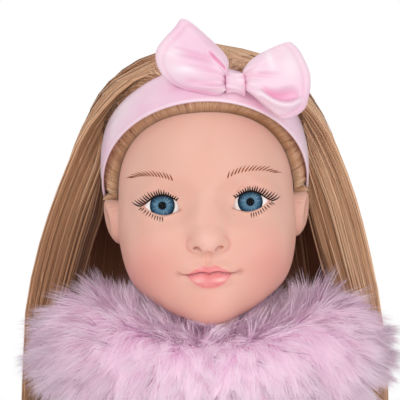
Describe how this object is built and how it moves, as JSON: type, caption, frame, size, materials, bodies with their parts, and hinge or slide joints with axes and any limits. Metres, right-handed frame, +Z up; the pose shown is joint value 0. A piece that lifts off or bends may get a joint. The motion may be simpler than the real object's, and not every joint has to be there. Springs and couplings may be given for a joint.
{
  "type": "play doll",
  "caption": "Standing vinyl play doll with long fair hair, satin headband and bow, faux-fur gilet, top, leggings and ankle boots; head, arms and legs turn.",
  "frame": {"origin": "on the floor, under the middle of the doll's box", "axes": "+Z up, -Y the way the doll faces, +X towards the doll's left side"},
  "size_m": [0.1638, 0.1184, 0.4705],
  "materials": {
    "vinyl": "soft matte vinyl with painted blush, brows, lashes and lips",
    "body_plastic": "matte",
    "eye_white": "glossy",
    "iris": "blue, printed with spokes and a dark rim",
    "cornea": "clear and glossy",
    "hair": "straight synthetic fibre with a soft sheen",
    "satin": "satin ribbon",
    "fur": "long-pile faux fur",
    "steel": "plated",
    "elastic": "woven elastic cord",
    "jersey": "fine knit",
    "legging": "stretch knit",
    "boot": "suede look",
    "sole": "matte"
  },
  "bodies": {
    "torso": {"torso_front_shell": "body_plastic", "torso_back_shell": "body_plastic", "torso_screw_1": "steel", "torso_screw_2": "steel", "torso_screw_3": "steel", "torso_screw_4": "steel", "arm_elastic": "elastic", "leg_elastic": "elastic", "top_body": "jersey", "leggings_seat": "legging", "gilet_back": "fur", "gilet_left_front": "fur", "gilet_right_front": "fur", "gilet_collar": "fur"},
    "neck": {"neck_plug": "body_plastic"},
    "head": {"head_shell": "vinyl", "left_eye_white": "eye_white", "right_eye_white": "eye_white", "left_iris": "iris", "right_iris": "iris", "left_cornea": "cornea", "right_cornea": "cornea", "hair_cap": "hair", "headband": "satin", "bow_left_loop": "satin", "bow_right_loop": "satin", "bow_knot": "satin", "left_hair_fall": "hair", "back_hair_fall": "hair", "right_hair_fall": "hair"},
    "left_arm": {"left_arm": "vinyl", "left_sleeve": "jersey"},
    "right_arm": {"right_arm": "vinyl", "right_sleeve": "jersey"},
    "left_leg": {"left_leg": "vinyl", "left_legging": "legging", "left_boot": "boot", "left_sole": "sole"},
    "right_leg": {"right_leg": "vinyl", "right_legging": "legging", "right_boot": "boot", "right_sole": "sole"}
  },
  "joints": [
    {"name": "head_tilt", "type": "hinge", "parent": "torso", "child": "neck", "pos_m": [0, -0.0018, 0.324], "axis": [0, 1, 0], "range_deg": [-5, 5], "deforming": ["left_hair_fall", "back_hair_fall", "right_hair_fall"]},
    {"name": "head_turn", "type": "hinge", "parent": "neck", "child": "head", "pos_m": [0, -0.0018, 0.324], "axis": [-0.0436, 0, 0.999], "range_deg": [-75, 75], "deforming": ["left_hair_fall", "back_hair_fall", "right_hair_fall"]},
    {"name": "left_shoulder", "type": "hinge", "parent": "torso", "child": "left_arm", "pos_m": [0.057, -0.0048, 0.301], "axis": [-1, 0, 0], "range_deg": [-15, 90]},
    {"name": "right_shoulder", "type": "hinge", "parent": "torso", "child": "right_arm", "pos_m": [-0.057, -0.0048, 0.301], "axis": [-1, 0, 0], "range_deg": [-15, 90]},
    {"name": "left_hip", "type": "hinge", "parent": "torso", "child": "left_leg", "pos_m": [0.029, -0.0048, 0.205], "axis": [-1, 0, 0], "range_deg": [-12, 90]},
    {"name": "right_hip", "type": "hinge", "parent": "torso", "child": "right_leg", "pos_m": [-0.029, -0.0048, 0.205], "axis": [-1, 0, 0], "range_deg": [-12, 90]}
  ]
}
